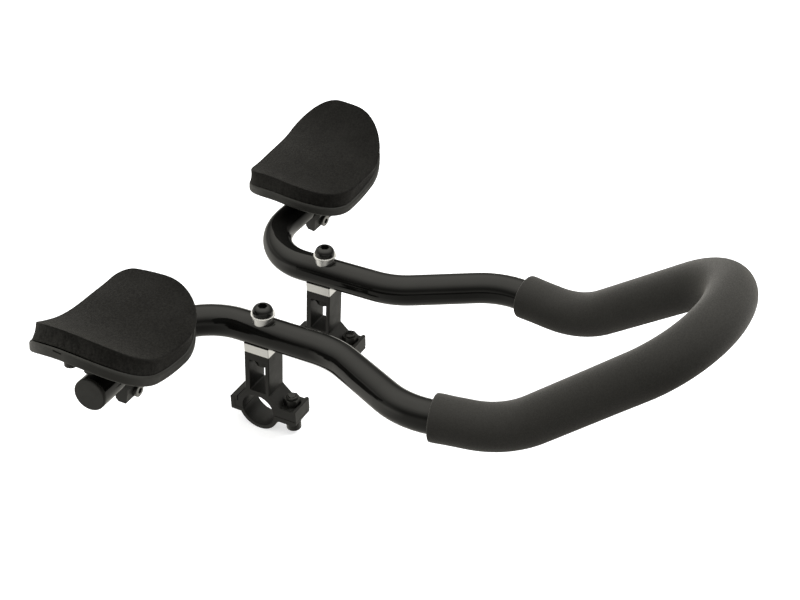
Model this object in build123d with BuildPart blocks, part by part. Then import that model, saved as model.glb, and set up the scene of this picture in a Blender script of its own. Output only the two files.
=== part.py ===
from build123d import *
import os
from math import sqrt

os.makedirs("parts", exist_ok=True)

# Clip-on aero bar. Millimetres; X to the rider's right, Y forward, Z up.
# The origin is the middle of the handlebar that the two clamps grip.

# ---------------------------------------------------------------- bent tube
tube_r = 11.1               # 22.2 mm bar-end tube
tube_wall = 2.0
tube_z = 64.55              # tube axis above the handlebar axis
clamp_x = 41.75             # each clamp's middle, either side of the centre
p_end = (160.3, -47.0, 76.4)
p_rear = (clamp_x, -59.2, tube_z)
p_mid = (clamp_x, 59.8, tube_z)
p_flare = (77.8, 129.7, 67.7)
p_rise = (66.4, 193.7, 67.6)
p_loop = (44.75, 300.2, 152.8)
r_rear, r_mid, r_flare, r_rise, r_loop = 40.4, 57.9, 55.0, 64.2, 51.3
grip_share = 0.29           # where the foam starts between flare and rise
grip_r = 15.43
grip_bore_r = 11.25
plug_lip = 2.4              # thickness of the plug's visible disc

# ---------------------------------------------------------- handlebar clamp
bar_bore_r = 13.05          # clamps a 26.0 mm handlebar
clamp_w = 18.6
block_front, block_rear = 9.4, 10.5   # the riser block, before and behind its window's middle
block_y0, rake = 0.1, 0.06  # the block leans forward as it rises
block_top = 50.2
window_half, window_low, window_high = 6.5, 17.0, 44.0
jaw_ring_r = 16.0
lug_front = 31.4
floor_z = 8.0               # pocket floor under the jaw screw's lock nut
jaw_bolt_y = 23.4
jaw_bolt_r, jaw_head_r, jaw_head_h, jaw_head_low = 3.0, 5.4, 6.0, -13.3
jaw_nut_flats, jaw_nut_hex, jaw_nut_top, jaw_collar_r = 10.4, 5.6, 7.2, 4.1
pocket_r = 6.6
boss_r, boss_low = 5.6, -7.25

# ------------------------------------------------- screw through tube and riser
saddle_top = 57.0
tube_bolt_y, bolt_rake = 3.5, 0.05   # where the screw crosses the tube, and its lean
washer_r, washer_low, washer_top = 7.15, 7.6, 15.5    # from the tube axis
flange_r, flange_t = 8.3, 1.4        # the saddle washer's thin top flange
tube_bolt_r, tube_head_r, tube_head_h = 4.0, 7.15, 5.9
tube_bolt_low = -29.3
nut_flats, nut_low, nut_high = 12.0, -28.0, -20.95

# ----------------------------------------------------------------- arm rests
pad_origin = (125.15, -88.24, 109.79)
pad_pitch, pad_roll, pad_yaw = -5.6, -3.64, 3.14
pad_thick = 10.8
trough_u, trough_r = -10.6, 91.0     # cross curve of the foam's top
arch_v, arch_r = 40.55, 135.1        # front-to-back curve of the foam's top
patch_t = 1.2                        # hook-and-loop layer
floor_t = 3.0
rim_rise, rim_drop = 0.5, 7.4        # rim above and below the foam's underside
rim_out, rim_wall, rim_round = 1.5, 1.4, 2.4
rear_in, rear_out, rear_v, rear_corner = -51.5, 53.2, 0.5, 26.6
front_in, front_out, front_v, front_corner = -52.0, 56.3, 79.1, 38.0

rest_x = 120.5                       # where the pinch clamp sits on the tube
rest_w = 23.5
rest_bore_r = 11.15
rest_ring_r = 14.6
seat_z = 17.0                        # top of the pinch clamp above the tube axis
seat_half, seat_bottom = 14.0, 1.0
ear_front, ear_low, slit_front, slit_rear = 7.8, -23.3, -0.4, -2.0
lug_rear, lug_low, lug_w = -9.0, -21.9, 13.0
rest_bolt_z = -18.7
rest_bolt_r, rest_head_r, rest_head_h = 2.5, 4.6, 3.0
rest_nut_flats, rest_nut_t = 8.0, 4.0
screw_y, screw_r, screw_head_r, screw_head_h, screw_seat = 9.6, 2.0, 3.8, 1.6, 18.5
screw_low = 9.0
stud_r, stud_low = 4.0, -5.0         # round studs under the cup's outer edge
studs = [(45.6, 36.2), (44.2, 49.6)]
slot_u, slot_v, slot_w = 56.2, 34.6, 9.9   # small slot in the cup's outer wall


def flip(p):
    return (-p[0], p[1], p[2])


def between(p, q, share):
    return tuple(p[i] + (q[i] - p[i]) * share for i in range(3))


def hexagon(flats):
    RegularPolygon(radius=flats / 2, side_count=6, major_radius=False)


def outline(grow):
    """The cup's plan, a trapezium with a broad round front."""
    with BuildLine() as plan:
        FilletPolyline(
            (rear_in - grow, rear_v - grow),
            (rear_out + grow, rear_v - grow),
            (front_out + grow, front_v + grow),
            (front_in - grow, front_v + grow),
            radius=[rear_corner + grow, rear_corner + grow, front_corner + grow, front_corner + grow],
            close=True,
        )
    make_face(plan.edges())


def foam_plan(w):
    """The foam's plan at height w: its outer wall flares outward as it goes down."""
    with BuildLine() as plan:
        FilletPolyline(
            (-49.8 + 0.07 * (w - 16), 0.4 - 0.04 * (w + 5)),
            (51.9 - 0.38 * (w - 16), 0.4 - 0.04 * (w + 5)),
            (55.0 - 0.38 * (w - 16), 78.8 + 0.1 * (w + 16)),
            (-50.3 + 0.07 * (w - 16), 78.8 + 0.1 * (w + 16)),
            radius=[27, 27, 38, 38],
            close=True,
        )
    make_face(plan.edges())


def trough(r_top, r_bottom):
    """A band across the arm rest between two concentric arcs."""
    with BuildLine() as band:
        upper = CenterArc((trough_u, trough_r), r_top, 270 - 38, 38 + 52)
        lower = CenterArc((trough_u, trough_r), r_bottom, 270 - 38, 38 + 52)
        Line(upper @ 0, lower @ 0)
        Line(upper @ 1, lower @ 1)
    make_face(band.edges())


# The arm rest's own plane: u outward, v forward, w up from the foam's rear middle.
pad_plane = Plane(Location(pad_origin, (0, 0, pad_yaw)) * Location((0, 0, 0), (0, pad_roll, 0)) * Location((0, 0, 0), (pad_pitch, 0, 0)))
arch_centre = pad_plane.from_local_coords(Vector(0, arch_v, -arch_r))
arch_axis = Axis(arch_centre, pad_plane.x_dir * -1)
section_up = pad_plane.z_dir.rotate(Axis((0, 0, 0), pad_plane.x_dir), 30)
section_plane = Plane(
    origin=arch_centre + section_up * arch_r,
    x_dir=pad_plane.x_dir,
    z_dir=pad_plane.x_dir.cross(section_up),
)

# The outward-bent tube end that carries the arm rest.
tube_dir = (Vector(*p_end) - Vector(*p_rear)).normalized()
rest_centre = Vector(*p_rear) + tube_dir * ((rest_x - clamp_x) / tube_dir.X)
rest_up = (pad_plane.z_dir - tube_dir * pad_plane.z_dir.dot(tube_dir)).normalized()
rest_fwd = rest_up.cross(tube_dir)
rest_plane = Plane(origin=rest_centre, x_dir=tube_dir, z_dir=rest_up)
rest_side = Plane(origin=rest_centre - tube_dir * (rest_w / 2), x_dir=rest_fwd, z_dir=tube_dir)
bolt_plane = Plane(
    origin=rest_centre + rest_up * rest_bolt_z + rest_fwd * ear_front,
    x_dir=tube_dir,
    z_dir=rest_fwd,
)
nut_plane = Plane(
    origin=rest_centre + rest_up * rest_bolt_z + rest_fwd * lug_rear,
    x_dir=tube_dir,
    z_dir=rest_fwd,
)

# The screw that holds the tube on the riser crosses the tube axis here.
screw_plane = Plane(origin=(clamp_x, tube_bolt_y, tube_z), x_dir=(1, 0, 0), z_dir=(0, bolt_rake, 1))
screw_plane_left = Plane(origin=(-clamp_x, tube_bolt_y, tube_z), x_dir=(1, 0, 0), z_dir=(0, bolt_rake, 1))
screw_side = Plane(origin=screw_plane.origin, x_dir=(1, 0, 0), z_dir=(0, -1, bolt_rake))

# ---------------------------------------------------------------- bent tube
with BuildPart() as extension_tube:
    with BuildLine() as tube_path:
        FilletPolyline(
            p_end, p_rear, p_mid, p_flare, p_rise, p_loop,
            flip(p_loop), flip(p_rise), flip(p_flare), flip(p_mid), flip(p_rear), flip(p_end),
            radius=[r_rear, r_mid, r_flare, r_rise, r_loop, r_loop, r_rise, r_flare, r_mid, r_rear],
        )
    with BuildSketch(Plane(origin=tube_path.line @ 0, z_dir=tube_path.line % 0)):
        Circle(tube_r)
        Circle(tube_r - tube_wall, mode=Mode.SUBTRACT)
    sweep()
    for bolt_side in (screw_plane, screw_plane_left):
        with BuildSketch(bolt_side):
            Circle(tube_bolt_r + 0.3)
        extrude(amount=20, both=True, mode=Mode.SUBTRACT)
extension_tube.part.label = "extension_tube"
export_step(extension_tube.part, "parts/extension_tube.step")

p_grip = between(p_flare, p_rise, grip_share)
with BuildPart() as foam_grip:
    with BuildLine() as grip_path:
        FilletPolyline(
            p_grip, p_rise, p_loop, flip(p_loop), flip(p_rise), flip(p_grip),
            radius=[r_rise, r_loop, r_loop, r_rise],
        )
    with BuildSketch(Plane(origin=grip_path.line @ 0, z_dir=grip_path.line % 0)):
        Circle(grip_r)
        Circle(grip_bore_r, mode=Mode.SUBTRACT)
    sweep()
foam_grip.part.label = "foam_grip"
export_step(foam_grip.part, "parts/foam_grip.step")

with BuildPart() as end_plug_right:
    with BuildSketch(Plane(origin=Vector(*p_end), z_dir=tube_dir)):
        Circle(tube_r)
    extrude(amount=plug_lip)
    fillet(end_plug_right.edges().sort_by(Axis(p_end, tube_dir))[-1], 1.1)
    with BuildSketch(Plane(origin=Vector(*p_end), z_dir=tube_dir * -1)):
        Circle(tube_r - tube_wall - 0.05)
    extrude(amount=12)
end_plug_right.part.label = "end_plug_right"
export_step(end_plug_right.part, "parts/end_plug_right.step")

# ---------------------------------------------------------- handlebar clamp


def block_edge(z, half):
    return (block_y0 + rake * z + half, z)


with BuildPart() as riser_block_right:
    with BuildSketch(Plane.YZ.offset(clamp_x - clamp_w / 2)):
        with BuildLine():
            bore_front = (sqrt(bar_bore_r**2 - 0.2**2), 0.2)
            bore_rear = (-sqrt(bar_bore_r**2 - 2.6**2), -2.6)
            Polyline(
                bore_front,
                (lug_front, 0.2),
                (lug_front, 9.2),
                (lug_front - 0.7, 9.9),
                (29.6, 9.9),
                (27.4, floor_z),
                (18.9, floor_z),
                (15.6, 10.9),
                block_edge(15.9, block_front),
                block_edge(block_top, block_front),
                block_edge(block_top, -block_rear),
                block_edge(16.6, -block_rear),
                (-16.4, 7.2),
                (-16.4, 3.0),
                (-19.4, 3.0),
                (-19.4, -2.6),
                bore_rear,
            )
            ThreePointArc(bore_rear, (0, bar_bore_r), bore_front)
        make_face()
    extrude(amount=clamp_w)
    with BuildSketch(Plane.YZ.offset(clamp_x - clamp_w / 2)):
        with BuildLine():
            FilletPolyline(
                block_edge(window_low, -window_half),
                block_edge(window_low, window_half),
                block_edge(window_high, window_half),
                block_edge(window_high, -window_half),
                radius=0.6,
                close=True,
            )
        make_face()
    extrude(amount=clamp_w, mode=Mode.SUBTRACT)
    with Locations((clamp_x, jaw_bolt_y, floor_z)):
        Cylinder(pocket_r, 12, align=(Align.CENTER, Align.CENTER, Align.MIN), mode=Mode.SUBTRACT)
        Cylinder(jaw_bolt_r + 0.3, 40, mode=Mode.SUBTRACT)
    with BuildSketch(screw_plane.offset(-30)):
        Circle(tube_bolt_r + 0.3)
    extrude(amount=30, mode=Mode.SUBTRACT)
    fillet(riser_block_right.edges().filter_by(GeomType.LINE).filter_by(lambda e: 33 < e.length < 35), 0.7)
riser_block_right.part.label = "riser_block_right"
export_step(riser_block_right.part, "parts/riser_block_right.step")

with BuildPart() as lower_jaw_right:
    with BuildSketch(Plane.YZ.offset(clamp_x - clamp_w / 2)):
        with BuildLine():
            jaw_front = (sqrt(bar_bore_r**2 - 0.3**2), -0.3)
            jaw_rear = (-sqrt(bar_bore_r**2 - 2.9**2), -2.9)
            ring_front = (sqrt(jaw_ring_r**2 - 5.2**2), -5.2)
            ring_rear = (-sqrt(jaw_ring_r**2 - 5.95**2), -5.95)
            Polyline(
                jaw_front,
                (lug_front - 0.2, -0.3),
                (lug_front - 0.2, -2.4),
                (lug_front - 2.0, -4.2),
                (17.2, -4.2),
                ring_front,
            )
            ThreePointArc(ring_front, (0, -jaw_ring_r), ring_rear)
            Polyline(
                ring_rear,
                (-22.6, -5.95),
                (-23.1, -5.4),
                (-23.1, 5.0),
                (-22.2, 6.0),
                (-17.2, 7.0),
                (-17.2, 3.2),
                (-19.7, 3.2),
                (-19.7, -2.9),
                jaw_rear,
            )
            ThreePointArc(jaw_rear, (0, -bar_bore_r), jaw_front)
        make_face()
    extrude(amount=clamp_w)
    with BuildSketch(Plane.XY.offset(boss_low)):
        with Locations((clamp_x, jaw_bolt_y)):
            Circle(boss_r)
    extrude(amount=-boss_low - 2.0)
    fillet(lower_jaw_right.faces().filter_by(Plane.XY).sort_by(Axis.Z)[0].edges(), 0.4)
    with Locations((clamp_x, jaw_bolt_y, -6)):
        Cylinder(jaw_bolt_r + 0.05, 40, mode=Mode.SUBTRACT)
lower_jaw_right.part.label = "lower_jaw_right"
export_step(lower_jaw_right.part, "parts/lower_jaw_right.step")

with BuildPart() as jaw_bolt_right:
    with BuildSketch(Plane.XY.offset(jaw_head_low)):
        with Locations((clamp_x, jaw_bolt_y)):
            Circle(jaw_head_r)
    extrude(amount=jaw_head_h)
    fillet(jaw_bolt_right.edges().sort_by(Axis.Z)[0], 1.0)
    with BuildSketch(Plane.XY.offset(jaw_head_low)):
        with Locations((clamp_x, jaw_bolt_y)):
            hexagon(5.0)
    extrude(amount=3.2, mode=Mode.SUBTRACT)
    with BuildSketch(Plane.XY.offset(jaw_head_low + jaw_head_h)):
        with Locations((clamp_x, jaw_bolt_y)):
            Circle(jaw_bolt_r)
    extrude(amount=floor_z + jaw_nut_top + 0.5 - jaw_head_low - jaw_head_h)
    chamfer(jaw_bolt_right.edges().sort_by(Axis.Z)[-1], 0.5)
jaw_bolt_right.part.label = "jaw_bolt_right"
export_step(jaw_bolt_right.part, "parts/jaw_bolt_right.step")

with BuildPart() as jaw_nut_right:
    with BuildSketch(Plane.XY.offset(floor_z)):
        with Locations((clamp_x, jaw_bolt_y)):
            hexagon(jaw_nut_flats)
    extrude(amount=jaw_nut_hex)
    with BuildSketch(Plane.XY.offset(floor_z + jaw_nut_hex)):
        with Locations((clamp_x, jaw_bolt_y)):
            Circle(jaw_collar_r)
    extrude(amount=jaw_nut_top - jaw_nut_hex)
    fillet(jaw_nut_right.edges().sort_by(Axis.Z)[-1], 0.7)
    with Locations((clamp_x, jaw_bolt_y, floor_z)):
        Cylinder(jaw_bolt_r + 0.05, 40, mode=Mode.SUBTRACT)
jaw_nut_right.part.label = "jaw_nut_right"
export_step(jaw_nut_right.part, "parts/jaw_nut_right.step")

# ------------------------------------------------- screw through tube and riser
with BuildPart() as saddle_spacer_right:
    with BuildSketch(Plane.XY.offset(block_top)):
        with Locations((clamp_x, block_y0 + rake * block_top + (block_front - block_rear) / 2)):
            RectangleRounded(clamp_w, block_front + block_rear, 0.7)
    extrude(amount=saddle_top - block_top)
    with BuildSketch(Plane.XZ.offset(-40)):
        with Locations((clamp_x, tube_z)):
            Circle(tube_r + 0.02)
    extrude(amount=80, mode=Mode.SUBTRACT)
    with BuildSketch(screw_plane):
        Circle(tube_bolt_r + 0.3)
    extrude(amount=30, both=True, mode=Mode.SUBTRACT)
saddle_spacer_right.part.label = "saddle_spacer_right"
export_step(saddle_spacer_right.part, "parts/saddle_spacer_right.step")

with BuildPart() as saddle_washer_right:
    with BuildSketch(screw_plane.offset(washer_low)):
        Circle(washer_r)
    extrude(amount=washer_top - washer_low)
    with BuildSketch(screw_plane.offset(washer_top - flange_t)):
        Circle(flange_r)
    extrude(amount=flange_t)
    fillet(saddle_washer_right.edges().sort_by(Axis.Z)[-1], 0.4)
    with BuildSketch(Plane.XZ.offset(-40)):
        with Locations((clamp_x, tube_z)):
            Circle(tube_r + 0.02)
    extrude(amount=80, mode=Mode.SUBTRACT)
    with BuildSketch(screw_plane):
        Circle(tube_bolt_r + 0.3)
    extrude(amount=30, mode=Mode.SUBTRACT)
saddle_washer_right.part.label = "saddle_washer_right"
export_step(saddle_washer_right.part, "parts/saddle_washer_right.step")

with BuildPart() as tube_bolt_right:
    with BuildSketch(screw_side):
        with BuildLine():
            dome_low = (tube_head_r, washer_top + 1.6)
            dome_high = (3.8, washer_top + tube_head_h)
            Polyline(
                dome_high,
                (0, washer_top + tube_head_h),
                (0, tube_bolt_low),
                (tube_bolt_r - 0.6, tube_bolt_low),
                (tube_bolt_r, tube_bolt_low + 0.6),
                (tube_bolt_r, washer_top),
                (tube_head_r - 0.4, washer_top),
                (tube_head_r, washer_top + 0.4),
                dome_low,
            )
            ThreePointArc(dome_low, (6.15, washer_top + tube_head_h - 1.65), dome_high)
        make_face()
    revolve(axis=Axis(screw_plane.origin, screw_plane.z_dir))
    with BuildSketch(screw_plane.offset(washer_top + tube_head_h)):
        hexagon(6.0)
    extrude(amount=-3.6, mode=Mode.SUBTRACT)
tube_bolt_right.part.label = "tube_bolt_right"
export_step(tube_bolt_right.part, "parts/tube_bolt_right.step")

with BuildPart() as tube_nut_right:
    with BuildSketch(screw_plane.offset(nut_high)):
        hexagon(nut_flats)
    extrude(amount=-5.2)
    with BuildSketch(screw_plane.offset(nut_high - 5.2)):
        Circle(5.6)
    extrude(amount=-(nut_high - 5.2 - nut_low))
    fillet(tube_nut_right.edges().sort_by(Axis.Z)[0], 0.7)
    with BuildSketch(screw_plane.offset(nut_low - 1)):
        Circle(tube_bolt_r + 0.05)
    extrude(amount=20, mode=Mode.SUBTRACT)
tube_nut_right.part.label = "tube_nut_right"
export_step(tube_nut_right.part, "parts/tube_nut_right.step")

# ----------------------------------------------------------------- arm rests
with BuildPart() as armrest_pad_right:
    with BuildSketch(pad_plane.offset(30)):
        foam_plan(30)
    with BuildSketch(pad_plane.offset(-24)):
        foam_plan(-24)
    loft(ruled=True)
    with BuildSketch(section_plane):
        trough(trough_r, trough_r + pad_thick)
    revolve(axis=arch_axis, revolution_arc=60, mode=Mode.INTERSECT)
    with BuildSketch(pad_plane.offset(-60)):
        outline(-0.25)
    extrude(amount=140, mode=Mode.INTERSECT)
armrest_pad_right.part.label = "armrest_pad_right"
export_step(armrest_pad_right.part, "parts/armrest_pad_right.step")

cup_floor_r = trough_r + pad_thick + patch_t
with BuildPart() as pad_fastener_right:
    with BuildSketch(section_plane):
        trough(trough_r + pad_thick + 0.1, cup_floor_r - 0.05)
    revolve(axis=arch_axis, revolution_arc=60)
    with BuildSketch(pad_plane.offset(-60)):
        with Locations((0, arch_v)):
            RectangleRounded(72, 48, 6)
    extrude(amount=140, mode=Mode.INTERSECT)
pad_fastener_right.part.label = "pad_fastener_right"
export_step(pad_fastener_right.part, "parts/pad_fastener_right.step")

with BuildPart() as cup_pocket:
    with BuildSketch(section_plane):
        trough(60, cup_floor_r)
    revolve(axis=arch_axis, revolution_arc=60)
    with BuildSketch(pad_plane.offset(-60)):
        outline(rim_out - rim_wall)
    extrude(amount=140, mode=Mode.INTERSECT)

with BuildPart() as cup_hollow:
    with BuildSketch(section_plane):
        trough(cup_floor_r + floor_t, cup_floor_r + 20)
    revolve(axis=arch_axis, revolution_arc=60)
    with BuildSketch(pad_plane.offset(-60)):
        outline(rim_out - rim_wall)
    extrude(amount=140, mode=Mode.INTERSECT)

with BuildPart() as armrest_cup_right:
    with BuildSketch(section_plane):
        trough(trough_r + pad_thick - rim_rise, trough_r + pad_thick + rim_drop)
    revolve(axis=arch_axis, revolution_arc=60)
    with BuildSketch(pad_plane.offset(-60)):
        outline(rim_out)
    extrude(amount=140, mode=Mode.INTERSECT)
    fillet(armrest_cup_right.faces().sort_by(Axis(pad_plane.origin, pad_plane.z_dir))[0].edges(), rim_round)
    add(cup_hollow.part, mode=Mode.SUBTRACT)
    with BuildSketch(rest_plane.offset(seat_z + 0.02)):
        RectangleRounded(rest_w + 8, 2 * seat_half + 4, 4)
    extrude(amount=20)
    with BuildSketch(pad_plane.offset(stud_low)):
        with Locations(*studs):
            Circle(stud_r)
    extrude(amount=9, taper=-4)
    fillet(armrest_cup_right.edges().filter_by(GeomType.CIRCLE).sort_by(Axis(pad_plane.origin, pad_plane.z_dir))[:2], 1.8)
    add(cup_pocket.part, mode=Mode.SUBTRACT)
    with BuildSketch(pad_plane.offset(slot_w - 0.55)):
        with Locations((slot_u, slot_v)):
            RectangleRounded(5.0, 6.4, 0.5)
    extrude(amount=1.1, mode=Mode.SUBTRACT)
    with BuildSketch(rest_plane):
        with Locations((0, screw_y), (0, -screw_y)):
            Circle(screw_r + 0.2)
    extrude(amount=60, mode=Mode.SUBTRACT)
    with BuildSketch(rest_plane.offset(screw_seat)):
        with Locations((0, screw_y), (0, -screw_y)):
            Circle(screw_head_r + 0.5)
    extrude(amount=40, mode=Mode.SUBTRACT)
armrest_cup_right.part.label = "armrest_cup_right"
export_step(armrest_cup_right.part, "parts/armrest_cup_right.step")

with BuildPart() as armrest_clamp_right:
    with BuildSketch(rest_side):
        Circle(rest_ring_r)
        with Locations((0, (seat_z + seat_bottom) / 2)):
            Rectangle(2 * seat_half, seat_z - seat_bottom)
        with BuildLine():
            Polyline(
                (slit_front, -6),
                (slit_front, ear_low + 2.2),
                (slit_front + 2.2, ear_low),
                (ear_front - 0.6, ear_low),
                (ear_front, ear_low + 0.6),
                (ear_front + 1.2, -6),
                close=True,
            )
        make_face()
    extrude(amount=rest_w)
    with BuildSketch(rest_side.offset((rest_w - lug_w) / 2)):
        with BuildLine():
            Polyline(
                (lug_rear, -6),
                (lug_rear, lug_low + 2.5),
                (lug_rear + 2.5, lug_low),
                (slit_rear, lug_low),
                (slit_rear, -6),
                close=True,
            )
        make_face()
    extrude(amount=lug_w)
    with BuildSketch(rest_side):
        Circle(rest_bore_r)
        with BuildLine():
            Polyline((slit_rear, -30), (slit_front, -30), (slit_front, -5), (slit_rear, -5), close=True)
        make_face()
    extrude(amount=rest_w, mode=Mode.SUBTRACT)
    with BuildSketch(bolt_plane):
        Circle(rest_head_r + 0.6)
    extrude(amount=8, mode=Mode.SUBTRACT)
    with BuildSketch(bolt_plane):
        Circle(rest_bolt_r + 0.2)
    extrude(amount=-30, mode=Mode.SUBTRACT)
    with BuildSketch(nut_plane):
        hexagon(rest_nut_flats + 0.2)
    extrude(amount=rest_nut_t + 0.2, mode=Mode.SUBTRACT)
    with BuildSketch(rest_plane.offset(seat_z)):
        with Locations((0, screw_y), (0, -screw_y)):
            Circle(screw_r + 0.05)
    extrude(amount=-(seat_z - screw_low + 0.3), mode=Mode.SUBTRACT)
armrest_clamp_right.part.label = "armrest_clamp_right"
export_step(armrest_clamp_right.part, "parts/armrest_clamp_right.step")

with BuildPart() as armrest_bolt_right:
    with BuildSketch(bolt_plane):
        Circle(rest_head_r)
    extrude(amount=rest_head_h)
    fillet(armrest_bolt_right.edges().sort_by(Axis(bolt_plane.origin, bolt_plane.z_dir))[-1], 0.5)
    with BuildSketch(bolt_plane.offset(rest_head_h)):
        hexagon(4.0)
    extrude(amount=-2.6, mode=Mode.SUBTRACT)
    with BuildSketch(bolt_plane):
        Circle(rest_bolt_r)
    extrude(amount=-(ear_front - lug_rear + 0.8))
armrest_bolt_right.part.label = "armrest_bolt_right"
export_step(armrest_bolt_right.part, "parts/armrest_bolt_right.step")

with BuildPart() as armrest_nut_right:
    with BuildSketch(nut_plane.offset(0.1)):
        hexagon(rest_nut_flats)
        Circle(rest_bolt_r + 0.05, mode=Mode.SUBTRACT)
    extrude(amount=rest_nut_t)
armrest_nut_right.part.label = "armrest_nut_right"
export_step(armrest_nut_right.part, "parts/armrest_nut_right.step")

screw_front_plane = Plane(
    origin=rest_centre + rest_up * screw_seat + rest_fwd * screw_y, x_dir=tube_dir, z_dir=rest_up
)
screw_rear_plane = Plane(
    origin=rest_centre + rest_up * screw_seat - rest_fwd * screw_y, x_dir=tube_dir, z_dir=rest_up
)
with BuildPart() as cup_screw_front_right:
    with BuildSketch(screw_front_plane):
        Circle(screw_head_r)
    extrude(amount=screw_head_h)
    with BuildSketch(screw_front_plane.offset(screw_head_h)):
        hexagon(2.5)
    extrude(amount=-1.2, mode=Mode.SUBTRACT)
    with BuildSketch(screw_front_plane):
        Circle(screw_r)
    extrude(amount=-(screw_seat - screw_low))
cup_screw_front_right.part.label = "cup_screw_front_right"
export_step(cup_screw_front_right.part, "parts/cup_screw_front_right.step")

with BuildPart() as cup_screw_rear_right:
    with BuildSketch(screw_rear_plane):
        Circle(screw_head_r)
    extrude(amount=screw_head_h)
    with BuildSketch(screw_rear_plane.offset(screw_head_h)):
        hexagon(2.5)
    extrude(amount=-1.2, mode=Mode.SUBTRACT)
    with BuildSketch(screw_rear_plane):
        Circle(screw_r)
    extrude(amount=-(screw_seat - screw_low))
cup_screw_rear_right.part.label = "cup_screw_rear_right"
export_step(cup_screw_rear_right.part, "parts/cup_screw_rear_right.step")

# --------------------------------------------------- left side, mirrored
with BuildPart() as end_plug_left:
    mirror(end_plug_right.part, about=Plane.YZ)
end_plug_left.part.label = "end_plug_left"
export_step(end_plug_left.part, "parts/end_plug_left.step")

with BuildPart() as riser_block_left:
    mirror(riser_block_right.part, about=Plane.YZ)
riser_block_left.part.label = "riser_block_left"
export_step(riser_block_left.part, "parts/riser_block_left.step")

with BuildPart() as lower_jaw_left:
    mirror(lower_jaw_right.part, about=Plane.YZ)
lower_jaw_left.part.label = "lower_jaw_left"
export_step(lower_jaw_left.part, "parts/lower_jaw_left.step")

with BuildPart() as jaw_bolt_left:
    mirror(jaw_bolt_right.part, about=Plane.YZ)
jaw_bolt_left.part.label = "jaw_bolt_left"
export_step(jaw_bolt_left.part, "parts/jaw_bolt_left.step")

with BuildPart() as jaw_nut_left:
    mirror(jaw_nut_right.part, about=Plane.YZ)
jaw_nut_left.part.label = "jaw_nut_left"
export_step(jaw_nut_left.part, "parts/jaw_nut_left.step")

with BuildPart() as saddle_spacer_left:
    mirror(saddle_spacer_right.part, about=Plane.YZ)
saddle_spacer_left.part.label = "saddle_spacer_left"
export_step(saddle_spacer_left.part, "parts/saddle_spacer_left.step")

with BuildPart() as saddle_washer_left:
    mirror(saddle_washer_right.part, about=Plane.YZ)
saddle_washer_left.part.label = "saddle_washer_left"
export_step(saddle_washer_left.part, "parts/saddle_washer_left.step")

with BuildPart() as tube_bolt_left:
    mirror(tube_bolt_right.part, about=Plane.YZ)
tube_bolt_left.part.label = "tube_bolt_left"
export_step(tube_bolt_left.part, "parts/tube_bolt_left.step")

with BuildPart() as tube_nut_left:
    mirror(tube_nut_right.part, about=Plane.YZ)
tube_nut_left.part.label = "tube_nut_left"
export_step(tube_nut_left.part, "parts/tube_nut_left.step")

with BuildPart() as armrest_pad_left:
    mirror(armrest_pad_right.part, about=Plane.YZ)
armrest_pad_left.part.label = "armrest_pad_left"
export_step(armrest_pad_left.part, "parts/armrest_pad_left.step")

with BuildPart() as pad_fastener_left:
    mirror(pad_fastener_right.part, about=Plane.YZ)
pad_fastener_left.part.label = "pad_fastener_left"
export_step(pad_fastener_left.part, "parts/pad_fastener_left.step")

with BuildPart() as armrest_cup_left:
    mirror(armrest_cup_right.part, about=Plane.YZ)
armrest_cup_left.part.label = "armrest_cup_left"
export_step(armrest_cup_left.part, "parts/armrest_cup_left.step")

with BuildPart() as armrest_clamp_left:
    mirror(armrest_clamp_right.part, about=Plane.YZ)
armrest_clamp_left.part.label = "armrest_clamp_left"
export_step(armrest_clamp_left.part, "parts/armrest_clamp_left.step")

with BuildPart() as armrest_bolt_left:
    mirror(armrest_bolt_right.part, about=Plane.YZ)
armrest_bolt_left.part.label = "armrest_bolt_left"
export_step(armrest_bolt_left.part, "parts/armrest_bolt_left.step")

with BuildPart() as armrest_nut_left:
    mirror(armrest_nut_right.part, about=Plane.YZ)
armrest_nut_left.part.label = "armrest_nut_left"
export_step(armrest_nut_left.part, "parts/armrest_nut_left.step")

with BuildPart() as cup_screw_front_left:
    mirror(cup_screw_front_right.part, about=Plane.YZ)
cup_screw_front_left.part.label = "cup_screw_front_left"
export_step(cup_screw_front_left.part, "parts/cup_screw_front_left.step")

with BuildPart() as cup_screw_rear_left:
    mirror(cup_screw_rear_right.part, about=Plane.YZ)
cup_screw_rear_left.part.label = "cup_screw_rear_left"
export_step(cup_screw_rear_left.part, "parts/cup_screw_rear_left.step")
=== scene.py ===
import math

import bmesh
import bpy
import numpy as np
from mathutils import Matrix, Vector


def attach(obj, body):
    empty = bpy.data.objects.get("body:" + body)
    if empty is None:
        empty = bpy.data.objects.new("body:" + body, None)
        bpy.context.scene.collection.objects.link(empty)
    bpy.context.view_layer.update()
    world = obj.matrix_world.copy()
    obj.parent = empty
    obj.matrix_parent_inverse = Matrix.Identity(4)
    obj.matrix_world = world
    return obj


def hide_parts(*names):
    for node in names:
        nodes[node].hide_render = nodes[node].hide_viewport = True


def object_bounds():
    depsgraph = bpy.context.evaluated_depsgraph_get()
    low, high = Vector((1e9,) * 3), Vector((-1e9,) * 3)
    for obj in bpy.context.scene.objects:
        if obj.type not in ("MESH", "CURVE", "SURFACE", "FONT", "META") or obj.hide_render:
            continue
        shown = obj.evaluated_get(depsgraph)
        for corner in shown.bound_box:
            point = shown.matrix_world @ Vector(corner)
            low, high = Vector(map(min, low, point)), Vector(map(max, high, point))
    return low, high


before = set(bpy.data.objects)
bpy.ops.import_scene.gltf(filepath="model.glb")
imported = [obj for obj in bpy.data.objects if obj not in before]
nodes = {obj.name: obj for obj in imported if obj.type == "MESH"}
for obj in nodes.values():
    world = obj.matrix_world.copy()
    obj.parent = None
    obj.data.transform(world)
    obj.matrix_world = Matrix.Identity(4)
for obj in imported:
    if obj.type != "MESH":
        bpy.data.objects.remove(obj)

cad_low, cad_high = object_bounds()
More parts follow.
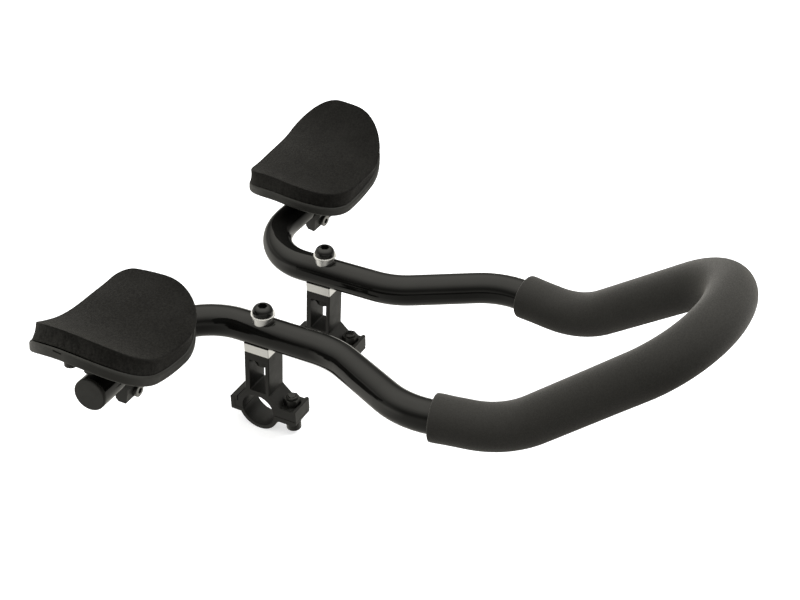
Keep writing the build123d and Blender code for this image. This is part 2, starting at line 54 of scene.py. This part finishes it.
scene = bpy.context.scene
MM = 0.001
SIDES = (("right", 1.0), ("left", -1.0))


# ---------------------------------------------------------------- materials

def material(name):
    m = bpy.data.materials.new(name)
    m.use_nodes = True
    nt = m.node_tree
    nt.nodes.clear()
    out = nt.nodes.new("ShaderNodeOutputMaterial")
    shader = nt.nodes.new("ShaderNodeBsdfPrincipled")
    nt.links.new(shader.outputs["BSDF"], out.inputs["Surface"])
    return m, nt, shader


def coords(nt, scale=(1.0, 1.0, 1.0)):
    tc = nt.nodes.new("ShaderNodeTexCoord")
    mp = nt.nodes.new("ShaderNodeMapping")
    mp.inputs["Scale"].default_value = scale
    nt.links.new(tc.outputs["Object"], mp.inputs["Vector"])
    return mp.outputs["Vector"]


def noise(nt, vec, scale, detail=4.0, rough=0.55, distortion=0.0):
    n = nt.nodes.new("ShaderNodeTexNoise")
    n.inputs["Scale"].default_value = scale
    n.inputs["Detail"].default_value = detail
    n.inputs["Roughness"].default_value = rough
    n.inputs["Distortion"].default_value = distortion
    nt.links.new(vec, n.inputs["Vector"])
    return n.outputs["Fac"]


def cells(nt, vec, scale, feature="F1"):
    n = nt.nodes.new("ShaderNodeTexVoronoi")
    n.feature = feature
    n.inputs["Scale"].default_value = scale
    nt.links.new(vec, n.inputs["Vector"])
    return n.outputs["Distance"]


def ramp(nt, fac, stops):
    r = nt.nodes.new("ShaderNodeValToRGB")
    while len(r.color_ramp.elements) < len(stops):
        r.color_ramp.elements.new(0.5)
    for e, (pos, col) in zip(r.color_ramp.elements, stops):
        e.position = pos
        c = (col,) * 3 if isinstance(col, (int, float)) else col
        e.color = (*c, 1.0)
    nt.links.new(fac, r.inputs["Fac"])
    return r.outputs["Color"]


def spread(nt, fac, low, high, fmin=0.3, fmax=0.7):
    m = nt.nodes.new("ShaderNodeMapRange")
    m.inputs["From Min"].default_value = fmin
    m.inputs["From Max"].default_value = fmax
    m.inputs["To Min"].default_value = low
    m.inputs["To Max"].default_value = high
    nt.links.new(fac, m.inputs["Value"])
    return m.outputs["Result"]


def add(nt, a, b, op="ADD"):
    m = nt.nodes.new("ShaderNodeMath")
    m.operation = op
    for i, x in enumerate((a, b)):
        if isinstance(x, (int, float)):
            m.inputs[i].default_value = x
        else:
            nt.links.new(x, m.inputs[i])
    return m.outputs["Value"]


def bump(nt, shader, height, strength, distance):
    b = nt.nodes.new("ShaderNodeBump")
    b.inputs["Strength"].default_value = strength
    b.inputs["Distance"].default_value = distance
    nt.links.new(height, b.inputs["Height"])
    nt.links.new(b.outputs["Normal"], shader.inputs["Normal"])


def paint(name, dark, light, rough, ior, peel=0.04, peel_scale=900.0, level=0.5):
    """Lacquer over metal: faint tone drift, orange peel and a slightly uneven gloss."""
    m, nt, s = material(name)
    vec = coords(nt)
    drift = noise(nt, vec, 42.0, 3.0)
    nt.links.new(ramp(nt, drift, [(0.3, dark), (0.7, light)]), s.inputs["Base Color"])
    nt.links.new(spread(nt, noise(nt, vec, 130.0, 5.0), rough[0], rough[1]), s.inputs["Roughness"])
    s.inputs["IOR"].default_value = ior
    s.inputs["Specular IOR Level"].default_value = level
    bump(nt, s, noise(nt, vec, peel_scale, 2.0), peel, 0.0003)
    return m


def foam(name, dark, light, pore, sheen, sheen_tint, sheen_rough=0.45, grain=1.0, rough=0.9, level=0.15,
         speck=1400.0, share=0.4, streak=0.0, fuzz=0.3):
    """Closed-cell foam skin: fine pores, mottled tone, soft sheen, and upright knife marks where it was cut."""
    m, nt, s = material(name)
    vec = coords(nt)
    mottle = noise(nt, vec, 60.0, 6.0, 0.6)
    fine = noise(nt, vec, speck, 3.0, 0.6)
    mixed = add(nt, add(nt, mottle, 1.0 - share - streak, "MULTIPLY"), add(nt, fine, share, "MULTIPLY"))
    if streak:
        marks = noise(nt, coords(nt, (1.0, 1.0, 0.12)), 620.0, 3.0, 0.6)
        mixed = add(nt, mixed, add(nt, marks, streak, "MULTIPLY"))
    nt.links.new(ramp(nt, mixed, [(0.36, dark), (0.62, light)]), s.inputs["Base Color"])
    nt.links.new(spread(nt, fine, rough - 0.08, rough + 0.06), s.inputs["Roughness"])
    s.inputs["Specular IOR Level"].default_value = level
    nt.links.new(spread(nt, fine, sheen * (1.0 - fuzz), sheen * (1.0 + fuzz), 0.36, 0.64), s.inputs["Sheen Weight"])
    s.inputs["Sheen Roughness"].default_value = sheen_rough
    s.inputs["Sheen Tint"].default_value = (*sheen_tint, 1.0)
    pores = cells(nt, vec, pore)
    bump(nt, s, add(nt, add(nt, pores, 0.7, "MULTIPLY"), fine), 0.35 * grain, 0.0002)
    return m


def moulded(name, dark, light, rough, grain=0.25, scale=1500.0, ior=1.45, level=0.3):
    """Injection-moulded plastic: spark-eroded grain and a satin, slightly cloudy gloss."""
    m, nt, s = material(name)
    vec = coords(nt)
    cloud = noise(nt, vec, 55.0, 4.0)
    nt.links.new(ramp(nt, cloud, [(0.3, dark), (0.7, light)]), s.inputs["Base Color"])
    nt.links.new(spread(nt, noise(nt, vec, 300.0, 4.0), rough[0], rough[1]), s.inputs["Roughness"])
    s.inputs["IOR"].default_value = ior
    s.inputs["Specular IOR Level"].default_value = level
    bump(nt, s, noise(nt, vec, scale, 3.0, 0.6), grain, 0.00012)
    return m


def metal(name, dark, light, rough, lines=0.12, stretch=(1.0, 1.0, 14.0), scale=700.0):
    """Turned or brushed metal: fine directional lines in tone, gloss and height."""
    m, nt, s = material(name)
    vec = coords(nt, stretch)
    lined = noise(nt, vec, scale, 4.0, 0.6)
    nt.links.new(ramp(nt, lined, [(0.3, dark), (0.7, light)]), s.inputs["Base Color"])
    nt.links.new(spread(nt, lined, rough[0], rough[1]), s.inputs["Roughness"])
    s.inputs["Metallic"].default_value = 1.0
    bump(nt, s, lined, lines, 0.0001)
    return m


tube_paint = paint("tube_gloss_black", (0.0034, 0.0034, 0.0032), (0.0052, 0.0052, 0.0049), (0.07, 0.12), 1.375, peel=0.03)
clamp_black = paint("clamp_black_paint", (0.0096, 0.0095, 0.0089), (0.0157, 0.0155, 0.0147), (0.34, 0.46), 1.45, peel=0.12, peel_scale=1200.0, level=0.28)
rest_clamp_black = paint("rest_clamp_satin", (0.020, 0.0198, 0.0187), (0.030, 0.0297, 0.0282), (0.36, 0.48), 1.45, peel=0.12, peel_scale=1300.0, level=0.3)
black_bolt = paint("black_oxide_steel", (0.0045, 0.0045, 0.0043), (0.0085, 0.0085, 0.0081), (0.11, 0.19), 1.45, peel=0.08, peel_scale=1600.0, level=0.45)
grip_foam = foam("grip_foam_skin", (0.0168, 0.0164, 0.0154), (0.0238, 0.0233, 0.0220), 2600.0, 0.19, (1.0, 0.975, 0.94), share=0.8)
pad_top = foam("pad_fabric_face", (0.0048, 0.0046, 0.0043), (0.0104, 0.0102, 0.0095), 3000.0, 0.075, (1.0, 0.98, 0.94), grain=2.0, level=0.05,
               speck=760.0, share=0.66, fuzz=0.36)
pad_side = foam("pad_cut_foam", (0.0045, 0.0044, 0.0040), (0.0215, 0.0210, 0.0196), 1500.0, 0.03, (1.0, 0.97, 0.92), grain=2.4, level=0.06,
                speck=800.0, share=0.40, streak=0.35)
plug_plastic = moulded("plug_satin_plastic", (0.019, 0.0189, 0.0177), (0.026, 0.0259, 0.0243), (0.46, 0.58))
cup_plastic = moulded("cup_satin_plastic", (0.0205, 0.0203, 0.0189), (0.0285, 0.0283, 0.0264), (0.40, 0.54))
bright_alloy = metal("machined_alloy", (0.80, 0.80, 0.795), (0.93, 0.93, 0.925), (0.30, 0.44))
bright_steel = metal("zinc_plated_steel", (0.17, 0.168, 0.163), (0.28, 0.278, 0.271), (0.24, 0.38))
dark_nut = metal("dark_lock_nut", (0.045, 0.045, 0.044), (0.080, 0.080, 0.078), (0.35, 0.50))
dark_screw = metal("dark_steel_screw", (0.10, 0.10, 0.10), (0.16, 0.16, 0.16), (0.32, 0.46))
hook_loop = foam("hook_loop_tape", (0.006, 0.006, 0.006), (0.012, 0.012, 0.012), 1800.0, 0.3, (1.0, 1.0, 1.0), grain=2.0)

FINISH = {
    "extension_tube": tube_paint, "foam_grip": grip_foam, "end_plug": plug_plastic,
    "riser_block": clamp_black, "lower_jaw": clamp_black, "jaw_bolt": black_bolt, "jaw_nut": dark_nut,
    "saddle_spacer": bright_alloy, "saddle_washer": bright_alloy, "tube_bolt": black_bolt,
    "tube_nut": dark_nut, "armrest_cup": cup_plastic, "armrest_pad": pad_top,
    "pad_fastener": hook_loop, "armrest_clamp": rest_clamp_black, "armrest_bolt": bright_steel,
    "armrest_nut": bright_steel, "cup_screw_front": dark_screw, "cup_screw_rear": dark_screw,
}


def dress(obj, mat):
    if not obj.material_slots:
        obj.data.materials.append(mat)
    for s in obj.material_slots:
        s.material = mat


for name, obj in nodes.items():
    key = max((k for k in FINISH if name == k or name.startswith(k + "_")), key=len)
    dress(obj, FINISH[key])


# ---------------------------------------------------------------- bent tube's path, in mm

TUBE_PATH = [(160.3, -47.0, 76.4), (41.75, -59.2, 64.55), (41.75, 59.8, 64.55), (77.8, 129.7, 67.7),
             (66.4, 193.7, 67.6), (44.75, 300.2, 152.8)]
TUBE_BENDS = [40.4, 57.9, 55.0, 64.2, 51.3]
GRIP_START = 0.29


def mirrored(points):
    return points + [(-x, y, z) for x, y, z in reversed(points)]


def rounded_path(points, radii, step):
    """Points every step or so along straight runs joined by tangent arcs."""
    pts = [Vector(p) for p in points]
    out = []

    def run(a, b):
        n = max(1, int((b - a).length / step))
        out.extend(a.lerp(b, i / n) for i in range(n))

    last = pts[0]
    for i in range(1, len(pts) - 1):
        p = pts[i]
        d0, d1 = (p - pts[i - 1]).normalized(), (pts[i + 1] - p).normalized()
        turn = d0.angle(d1)
        t = radii[i - 1] * math.tan(turn / 2)
        a, b = p - d0 * t, p + d1 * t
        run(last, a)
        centre = p + (d1 - d0).normalized() * (radii[i - 1] / math.cos(turn / 2))
        axis = d0.cross(d1).normalized()
        n = max(3, int(radii[i - 1] * turn / step))
        for k in range(n):
            out.append(centre + Matrix.Rotation(turn * k / n, 3, axis) @ (a - centre))
        last = b
    run(last, pts[-1])
    out.append(pts[-1])
    return out


def frames(path):
    """A tangent and two cross directions at each point, turned as little as possible."""
    n = len(path)
    tang = [(path[min(i + 1, n - 1)] - path[max(i - 1, 0)]).normalized() for i in range(n)]
    up = Vector((0, 0, 1))
    side = tang[0].cross(up).normalized()
    out = []
    for t in tang:
        side = (side - t * side.dot(t)).normalized()
        out.append((t, side, side.cross(t).normalized()))
    return out


def new_object(name, verts, faces, mat, smooth=True):
    me = bpy.data.meshes.new(name)
    me.from_pydata([tuple(v) for v in verts], [], faces)
    me.validate()
    bm = bmesh.new()
    bm.from_mesh(me)
    bmesh.ops.recalc_face_normals(bm, faces=bm.faces)
    bm.to_mesh(me)
    bm.free()
    for p in me.polygons:
        p.use_smooth = smooth
    me.materials.append(mat)
    o = bpy.data.objects.new(name, me)
    scene.collection.objects.link(o)
    return o


def wave(seed, count, low, high):
    """A fixed sum of sines, used for the small unevenness of soft pieces."""
    rng = np.random.default_rng(seed)
    k = rng.uniform(low, high, (count, 3)) * rng.choice([-1, 1], (count, 3))
    ph = rng.uniform(0, 2 * math.pi, count)

    def at(p):
        p = np.asarray(p)
        return np.sin(p @ k.T + ph).mean(-1)
    return at


# ---------------------------------------------------------------- foam sleeve on the loop

def foam_sleeve():
    a, b = Vector(TUBE_PATH[3]), Vector(TUBE_PATH[4])
    start = a.lerp(b, GRIP_START)
    pts = mirrored([tuple(start), TUBE_PATH[4], TUBE_PATH[5]])
    bends = [TUBE_BENDS[3], TUBE_BENDS[4], TUBE_BENDS[4], TUBE_BENDS[3]]
    path = rounded_path(pts, bends, 2.0)
    # finer rings near both cut ends
    for end in (0, -1):
        p, q = (path[0], path[1]) if end == 0 else (path[-1], path[-2])
        extra = [p.lerp(q, f) for f in (0.08, 0.2, 0.38, 0.6, 0.8)]
        path = [path[0]] + extra + path[1:] if end == 0 else path[:-1] + extra[::-1] + [path[-1]]
    fr = frames(path)
    total = [0.0]
    for i in range(1, len(path)):
        total.append(total[-1] + (path[i] - path[i - 1]).length)
    length = total[-1]
    around = 72
    outer_r, bore_r, edge = 15.43, 11.2, 1.3
    low, fine = wave(3, 7, 0.02, 0.06), wave(5, 9, 0.10, 0.22)
    verts, rings = [], []

    def ring(p, f, radius):
        first = len(verts)
        for k in range(around):
            ang = 2 * math.pi * k / around
            d = f[1] * math.cos(ang) + f[2] * math.sin(ang)
            r = radius
            if radius > 13.5:
                q = p + d * radius
                r += 0.16 * float(low(q)) + 0.05 * float(fine(q))
            verts.append((p + d * r) * MM)
        rings.append(first)

    for i, p in enumerate(path):
        s = min(total[i], length - total[i])
        r = outer_r
        if s < edge:
            r -= edge - math.sqrt(max(0.0, edge ** 2 - (edge - s) ** 2))
        # the cut ends relax a little
        r += 0.22 * math.exp(-((s - 4.0) / 5.0) ** 2)
        ring(p, fr[i], r)
    # cut face and bore at the far end, back through the bore, and the near face
    for radius in (13.4, 11.7, bore_r):
        ring(path[-1] - fr[-1][0] * (0.10 if radius > 13 else 0.02), fr[-1], radius)
    for i in range(len(path) - 1, -1, -6):
        ring(path[i], fr[i], bore_r)
    for radius in (bore_r, 11.7, 13.4):
        ring(path[0] + fr[0][0] * (0.10 if radius > 13 else 0.02), fr[0], radius)
    faces = []
    for i in range(len(rings)):
        a0, b0 = rings[i], rings[(i + 1) % len(rings)]
        for k in range(around):
            k2 = (k + 1) % around
            faces.append((a0 + k, a0 + k2, b0 + k2, b0 + k))
    o = new_object("foam_sleeve", verts, faces, grip_foam)
    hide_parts("foam_grip")
    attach(o, "root")
    return o


sleeve = foam_sleeve()


# ---------------------------------------------------------------- forearm pads

PAD_ORIGIN = Vector((125.15, -88.24, 109.79))
PAD_TURN = (Matrix.Rotation(math.radians(3.14), 3, "Z") @ Matrix.Rotation(math.radians(-3.64), 3, "Y")
            @ Matrix.Rotation(math.radians(-5.6), 3, "X"))
TROUGH_U, TROUGH_R, ARCH_V, ARCH_R = -10.6, 91.0, 40.55, 135.1
PAD_THICK = 10.8
# corners (u, v) and radii: rear inner, rear outer, front outer, front inner
TOP_PLAN = {
    "right": ([(-49.3, 6.6), (51.4, -0.9), (50.6, 77.9), (-53.4, 85.2)], [13.0, 28.0, 36.8, 39.4]),
    "left": ([(-48.6, 6.8), (51.4, -1.4), (51.2, 82.2), (-53.4, 83.6)], [13.0, 27.6, 39.0, 39.0]),
}
FOOT_PLAN = ([(-51.4, 0.5), (53.0, 0.5), (56.2, 78.9), (-51.9, 78.9)], [24.4, 26.5, 38.2, 38.2])
# how far the face stands above its plain trough, across the pad
CROWN_U = [-56.0, -38.0, -20.0, -2.0, 16.0, 34.0, 48.0, 60.0]
CROWN_W = {
    "right": [0.0, 2.25, 4.25, 2.95, 1.30, 0.90, 0.3, -2.2],
    "left": [0.0, 2.3, 5.6, 5.8, 3.2, 1.3, 0.7, -0.6],
}


def natural_spline(xs, ys):
    """Smooth curve through the points, with no bend at its two ends."""
    xs, ys = np.array(xs), np.array(ys)
    n, h = len(xs), np.diff(xs)
    a, rhs = np.eye(n), np.zeros(n)
    for i in range(1, n - 1):
        a[i, i - 1:i + 2] = h[i - 1], 2 * (h[i - 1] + h[i]), h[i]
        rhs[i] = 6 * ((ys[i + 1] - ys[i]) / h[i] - (ys[i] - ys[i - 1]) / h[i - 1])
    m = np.linalg.solve(a, rhs)

    def at(x):
        i = int(np.clip(np.searchsorted(xs, x) - 1, 0, n - 2))
        p, q = x - xs[i], xs[i + 1] - x
        return float((m[i] * q ** 3 + m[i + 1] * p ** 3) / (6 * h[i])
                     + (ys[i] / h[i] - m[i] * h[i] / 6) * q + (ys[i + 1] / h[i] - m[i + 1] * h[i] / 6) * p)
    return at


crowns = {side: natural_spline(CROWN_U, CROWN_W[side]) for side, sign in SIDES}


def plan_outline(spec, side=14, corner=20):
    """Points round a rounded four-sided plan, the same count for every plan."""
    quad = [Vector(p) for p in spec[0]]
    radii = spec[1]
    arcs = []
    for i, p in enumerate(quad):
        d0, d1 = (p - quad[i - 1]).normalized(), (quad[(i + 1) % 4] - p).normalized()
        turn = d0.angle(d1)
        t = radii[i] * math.tan(turn / 2)
        a = p - d0 * t
        inward = Vector((-d0.y, d0.x))
        c = a + inward * radii[i]
        arcs.append([c + Matrix.Rotation(turn * k / corner, 2) @ (a - c) for k in range(corner + 1)])
    pts = []
    for i in range(4):
        pts += arcs[i]
        a, b = arcs[i][-1], arcs[(i + 1) % 4][0]
        pts += [a.lerp(b, k / side) for k in range(1, side)]
    return pts


def pad_point(u, v, r, lift=0.0):
    ws = TROUGH_R - math.sqrt(r * r - (u - TROUGH_U) ** 2)
    rho = ARCH_R + ws
    w = -ARCH_R + math.sqrt(rho * rho - (v - ARCH_V) ** 2)
    return PAD_ORIGIN + PAD_TURN @ Vector((u, v, w + lift))


def pad_mesh(side, sign):
    top, foot, crown = plan_outline(TOP_PLAN[side]), plan_outline(FOOT_PLAN), crowns[side]
    n = len(top)
    mid = Vector((0.0, 40.0))
    edge = 0.9
    rings = []          # each ring: list of (u, v, r, lift)
    low, fine = wave(11, 8, 0.05, 0.12), wave(13, 10, 0.25, 0.5)

    def shrink(points, by):
        out = []
        for i, p in enumerate(points):
            d = (points[(i + 1) % n] - points[i - 1]).normalized()
            out.append(p + Vector((-d.y, d.x)) * by)
        return out

    inner = shrink(top, edge)
    for k in range(1, 37):
        f = 1 - (1 - k / 36) ** 1.25
        ring = []
        for p in inner:
            q = mid + (p - mid) * f
            uneven = 0.10 * float(low((q.x, q.y, 0.0))) + 0.035 * float(fine((q.x, q.y, 0.0)))
            ring.append((q.x, q.y, TROUGH_R, crown(q.x) + uneven * (1 - f ** 6)))
        rings.append(ring)
    for k in range(1, 6):
        ang = math.pi / 2 * k / 5
        ps = shrink(top, edge * (1 - math.sin(ang)))
        rings.append([(p.x, p.y, TROUGH_R + edge * (1 - math.cos(ang)), crown(p.x)) for p in ps])
    face_rings = len(rings)
    steps = 14
    for k in range(1, steps + 1):
        f = k / steps
        hollow = 0.55 * math.sin(math.pi * f) + 0.05 * float(fine((f * 40.0, 0.0, 0.0)))
        ps = shrink([a.lerp(b, f) for a, b in zip(top, foot)], hollow)
        rings.append([(p.x, p.y, TROUGH_R + edge + (PAD_THICK - edge) * f, crown(p.x) * (1 - f)) for p in ps])
    for f in (0.985, 0.7, 0.35):
        rings.append([(mid.x + (p.x - mid.x) * f, mid.y + (p.y - mid.y) * f, TROUGH_R + PAD_THICK, 0.0) for p in foot])
    verts = [pad_point(mid.x, mid.y, TROUGH_R, crown(mid.x))]
    starts = []
    for rg in rings:
        starts.append(len(verts))
        verts += [pad_point(*q) for q in rg]
    last = len(verts)
    verts.append(pad_point(mid.x, mid.y, TROUGH_R + PAD_THICK))
    faces = [(0, starts[0] + k, starts[0] + (k + 1) % n) for k in range(n)]
    cut = [0] * n
    for i, (a, b) in enumerate(zip(starts, starts[1:])):
        faces += [(a + k, b + k, b + (k + 1) % n, a + (k + 1) % n) for k in range(n)]
        cut += [int(i + 1 >= face_rings)] * n
    faces += [(last, starts[-1] + (k + 1) % n, starts[-1] + k) for k in range(n)]
    cut += [1] * n
    verts = [Vector((sign * v.x, v.y, v.z)) * MM for v in verts]
    return verts, faces, cut


for side, sign in SIDES:
    verts, faces, cut = pad_mesh(side, sign)
    pad = new_object("forearm_pad_" + side, verts, faces, pad_top)
    pad.data.materials.append(pad_side)
    for poly, index in zip(pad.data.polygons, cut):
        poly.material_index = index
    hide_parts("armrest_pad_" + side)
    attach(pad, "armrest_" + side)


# ---------------------------------------------------------------- floor, light, camera

floor_z = cad_low.z - 0.0005
bpy.ops.mesh.primitive_plane_add(size=14.0, location=(0, 0, floor_z))
floor = bpy.context.object
floor.name = "floor"
fm, fnt, fs = material("pale_floor")
fs.inputs["Base Color"].default_value = (0.62, 0.63, 0.66, 1)
fs.inputs["Roughness"].default_value = 0.8
fs.inputs["Specular IOR Level"].default_value = 0.1
fs.inputs["Emission Color"].default_value = (1, 1, 1, 1)
fs.inputs["Emission Strength"].default_value = 0.62
dress(floor, fm)
floor.visible_diffuse = False
floor.visible_glossy = False

# a studio tent: bright overhead, falling off to a dark ring near the horizon
world = bpy.data.worlds.new("studio")
scene.world = world
world.use_nodes = True
wt = world.node_tree
wb = wt.nodes["Background"]
wc = wt.nodes.new("ShaderNodeTexCoord")
split = wt.nodes.new("ShaderNodeSeparateXYZ")
wt.links.new(wc.outputs["Generated"], split.inputs["Vector"])
toward = wt.nodes.new("ShaderNodeVectorMath")          # the tent's open front, where it is dark higher up
toward.operation = "DOT_PRODUCT"
toward.inputs[1].default_value = (0.888, 0.459, 0.0)
wt.links.new(wc.outputs["Generated"], toward.inputs[0])
drop = spread(wt, toward.outputs["Value"], 0.0, 0.36, 0.0, 1.0)
height = add(wt, split.outputs["Z"], drop, "SUBTRACT")
level = wt.nodes.new("ShaderNodeMapRange")
level.inputs["From Min"].default_value = -1.0
wt.links.new(height, level.inputs["Value"])
TENT = [(-1.0, 0.58), (-0.30, 0.60), (-0.10, 0.44), (0.02, 0.17), (0.20, 0.16), (0.36, 0.42), (0.57, 1.05), (0.80, 1.75), (1.0, 2.0)]
tone = ramp(wt, level.outputs["Result"], [((z + 1) / 2, (v / 2.0, v / 2.0 * 0.975, v / 2.0 * 0.89)) for z, v in TENT])
wt.links.new(tone, wb.inputs["Color"])


def facing(direction, low, high, fmin, fmax):
    """How far a direction of the sky turns towards the given one."""
    n = wt.nodes.new("ShaderNodeVectorMath")
    n.operation = "DOT_PRODUCT"
    n.inputs[1].default_value = direction
    wt.links.new(wc.outputs["Generated"], n.inputs[0])
    return spread(wt, n.outputs["Value"], low, high, fmin, fmax)


# the studio's lower half is brighter beyond the part and behind it, and dimmer under the loop's front
below = spread(wt, split.outputs["Z"], 1.0, 0.0, -0.2, 0.05)
edge = add(wt, spread(wt, split.outputs["Z"], 1.0, 0.0, 0.24, 0.35), spread(wt, split.outputs["Z"], 0.4, 1.0, -0.3, 0.0), "MULTIPLY")
lift = add(wt, facing((-1.0, 0.62, 0.0), 0.0, 1.0, 0.0, 1.0), below, "MULTIPLY")
rear = add(wt, facing((0.3, -1.0, 0.0), 0.0, 4.4, 0.72, 0.96), edge, "MULTIPLY")
dim = add(wt, facing((0.45, 0.9, 0.0), 0.0, 1.0, 0.1, 1.0), below, "MULTIPLY")
wt.links.new(add(wt, add(wt, add(wt, lift, rear), dim, "SUBTRACT"), 2.0), wb.inputs["Strength"])


def softbox(name, at, target, size, power, glossy=True):
    l = bpy.data.lights.new(name, "AREA")
    l.shape = "RECTANGLE"
    l.size, l.size_y = size
    l.energy = power
    o = bpy.data.objects.new(name, l)
    o.location = at
    o.rotation_euler = (Vector(target) - Vector(at)).to_track_quat("-Z", "Y").to_euler()
    o.visible_glossy = glossy
    scene.collection.objects.link(o)
    return o


softbox("front_key", Vector((-0.42, 0.62, 1.0)), (0.0, 0.22, 0.12), (0.8, 0.8), 17.0, glossy=False)
softbox("side_fill", Vector((0.85, -0.8, 0.35)), (0.05, -0.05, 0.10), (0.8, 0.8), 7.0, glossy=False)

CAM_F, CAM_AT = 1229.1, Vector((0.6037, 0.3996, 0.5590))
r = Vector((-0.4594, 0.8882, 0.0)).normalized()
c = Vector((0.7315, 0.3784, 0.5671)).normalized()
u = c.cross(r).normalized()
roll = math.radians(-0.197)
cx = r * math.cos(roll) + u * math.sin(roll)
cy = u * math.cos(roll) - r * math.sin(roll)
cam = bpy.data.cameras.new("camera")
cam.sensor_width = 36.0
cam.sensor_fit = "HORIZONTAL"
cam.lens = 36.0 * CAM_F / 800.0
cam.clip_start = 0.01
camera = bpy.data.objects.new("camera", cam)
m = Matrix((cx, cy, c)).transposed().to_4x4()
m.translation = CAM_AT
camera.matrix_world = m
scene.collection.objects.link(camera)
scene.camera = camera

scene.view_settings.view_transform = "Standard"
scene.view_settings.look = "None"
scene.view_settings.exposure = 0.0
